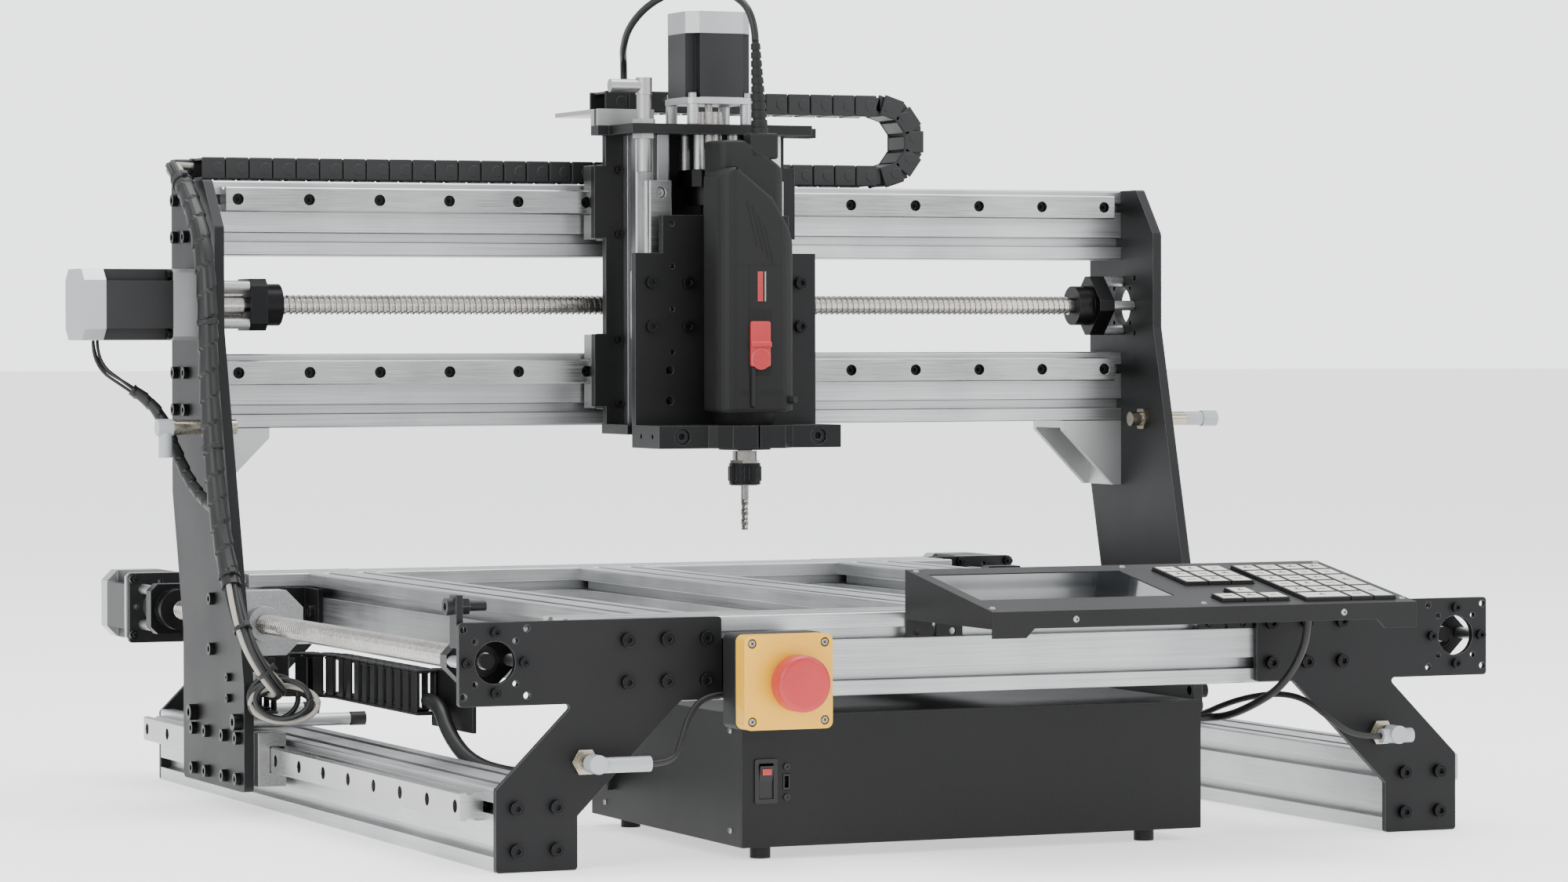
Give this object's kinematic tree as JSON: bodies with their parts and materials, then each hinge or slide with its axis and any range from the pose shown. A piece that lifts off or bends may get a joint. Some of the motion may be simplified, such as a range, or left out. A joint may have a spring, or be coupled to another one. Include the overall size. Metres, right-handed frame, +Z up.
{
  "type": "cnc router",
  "caption": "Desktop moving-gantry milling machine with ball-screw axes, cable chains, a hand router spindle, control box, keypad console and emergency stop.",
  "frame": {"origin": "middle of the table's top surface, on the middle table beam", "axes": "+X to the operator's right, +Y towards the back, +Z up"},
  "size_m": [1.005, 1.0607, 0.6655],
  "materials": {
    "natural_aluminium": "clear anodised, satin",
    "black_anodised": "black anodised, satin",
    "clamp_aluminium": "machined and clear anodised",
    "rail_steel": "ground steel",
    "screw_steel": "ground and polished",
    "black_screws": "black oxide",
    "nickel_sensor": "nickel plated brass",
    "motor_paint": "black paint over laminations",
    "motor_silver": "cast end caps and bare laminations",
    "box_paint": "black powder coat",
    "circuit_parts": "circuit boards and cased modules",
    "black_plastic": "moulded black plastic",
    "yellow_plastic": "moulded yellow plastic",
    "red_plastic": "moulded red plastic",
    "screen_glass": "dark glossy display",
    "key_plastic": "moulded light keys",
    "cable_rubber": "black cable sheath"
  },
  "bodies": {
    "frame": {"side_beams": "natural_aluminium", "cross_beams": "natural_aluminium", "table_beams": "natural_aluminium", "end_plates": "black_anodised", "side_rails": "rail_steel", "y_bearings": "black_anodised", "y_motors": "motor_silver", "frame_fasteners": "black_screws", "frame_brackets": "natural_aluminium", "frame_sensors": "nickel_sensor", "box_tray": "box_paint", "box_cover": "box_paint", "box_electronics": "circuit_parts", "stop_box_base": "black_plastic", "stop_box_cover": "yellow_plastic", "console_case": "box_paint", "console_screen": "screen_glass", "console_keypad": "key_plastic", "y_chain_fixed": "black_plastic", "console_cable": "cable_rubber", "left_sensor_lead": "cable_rubber", "right_sensor_lead": "cable_rubber", "box_loom": "cable_rubber"},
    "power_rocker": {"power_rocker": "red_plastic"},
    "stop_button": {"stop_button": "red_plastic"},
    "y_screw_left": {"y_screw_left": "screw_steel"},
    "y_screw_right": {"y_screw_right": "screw_steel"},
    "y_chain_bend": {"y_chain_bend": "black_plastic"},
    "gantry": {"gantry_plates": "black_anodised", "x_beams": "natural_aluminium", "x_rails": "rail_steel", "side_blocks": "rail_steel", "x_motor": "motor_paint", "x_bearings": "black_anodised", "gantry_fasteners": "black_screws", "gantry_brackets": "natural_aluminium", "y_nut_brackets": "natural_aluminium", "gantry_sensors": "nickel_sensor", "x_chain_lower": "black_plastic", "y_chain_moving": "black_plastic", "gantry_loom": "cable_rubber"},
    "x_screw": {"x_screw": "screw_steel"},
    "x_chain_bend": {"x_chain_bend": "black_plastic"},
    "carriage": {"carriage_plate": "black_anodised", "x_blocks": "rail_steel", "z_columns": "natural_aluminium", "z_rails": "rail_steel", "z_end_plates": "black_anodised", "z_motor": "motor_paint", "z_bearing": "black_anodised", "carriage_fittings": "black_screws", "x_chain_upper": "black_plastic"},
    "z_screw": {"z_screw": "screw_steel"},
    "z_slide": {"z_plate": "black_anodised", "z_blocks": "rail_steel", "router_clamp": "clamp_aluminium", "router_body": "black_plastic", "router_cord": "cable_rubber"},
    "router_switch": {"router_switch": "red_plastic"},
    "spindle": {"spindle": "screw_steel"}
  },
  "joints": [
    {"name": "gantry_slide", "type": "slide", "parent": "frame", "child": "gantry", "axis": [0, 1, 0], "range_m": [-0.39, 0.17], "deforming": ["y_chain_fixed", "y_chain_moving"]},
    {"name": "y_screw_left_turn", "type": "hinge", "parent": "frame", "child": "y_screw_left", "pos_m": [-0.387, 0, -0.0285], "axis": [0, 1, 0], "continuous": true},
    {"name": "y_screw_right_turn", "type": "hinge", "parent": "frame", "child": "y_screw_right", "pos_m": [0.387, 0, -0.0285], "axis": [0, 1, 0], "continuous": true},
    {"name": "y_chain_travel", "type": "slide", "parent": "frame", "child": "y_chain_bend", "axis": [0, 1, 0], "range_m": [-0.195, 0.085]},
    {"name": "x_slide", "type": "slide", "parent": "gantry", "child": "carriage", "axis": [1, 0, 0], "range_m": [-0.28, 0.28], "deforming": ["x_chain_lower", "x_chain_upper"]},
    {"name": "x_screw_turn", "type": "hinge", "parent": "gantry", "child": "x_screw", "pos_m": [0, 0.192, 0.226], "axis": [1, 0, 0], "continuous": true},
    {"name": "x_chain_travel", "type": "slide", "parent": "gantry", "child": "x_chain_bend", "axis": [1, 0, 0], "range_m": [-0.14, 0.14]},
    {"name": "z_slide", "type": "slide", "parent": "carriage", "child": "z_slide", "axis": [0, 0, 1], "range_m": [-0.04, 0.05], "deforming": ["router_cord"]},
    {"name": "z_screw_turn", "type": "hinge", "parent": "carriage", "child": "z_screw", "pos_m": [0, 0.129, 0], "axis": [0, 0, 1], "continuous": true},
    {"name": "spindle_turn", "type": "hinge", "parent": "z_slide", "child": "spindle", "pos_m": [0, 0.053, 0], "axis": [0, 0, 1], "continuous": true},
    {"name": "router_switch_slide", "type": "slide", "parent": "z_slide", "child": "router_switch", "axis": [0, 0, 1], "range_m": [0, 0.008]},
    {"name": "stop_press", "type": "slide", "parent": "frame", "child": "stop_button", "axis": [0, 1, 0], "range_m": [0, 0.004]},
    {"name": "power_rocker_tilt", "type": "hinge", "parent": "frame", "child": "power_rocker", "pos_m": [-0.17875, -0.4075, -0.1195], "axis": [1, 0, 0], "range_deg": [-14, 0]}
  ],
  "couplings": [
    {"joint": "y_screw_left_turn", "follows": "gantry_slide", "rad_per_m": 1256.6},
    {"joint": "y_screw_right_turn", "follows": "gantry_slide", "rad_per_m": 1256.6},
    {"joint": "y_chain_travel", "follows": "gantry_slide", "ratio": 0.5},
    {"joint": "x_screw_turn", "follows": "x_slide", "rad_per_m": 1256.6},
    {"joint": "x_chain_travel", "follows": "x_slide", "ratio": 0.5},
    {"joint": "z_screw_turn", "follows": "z_slide", "rad_per_m": 1256.6}
  ]
}
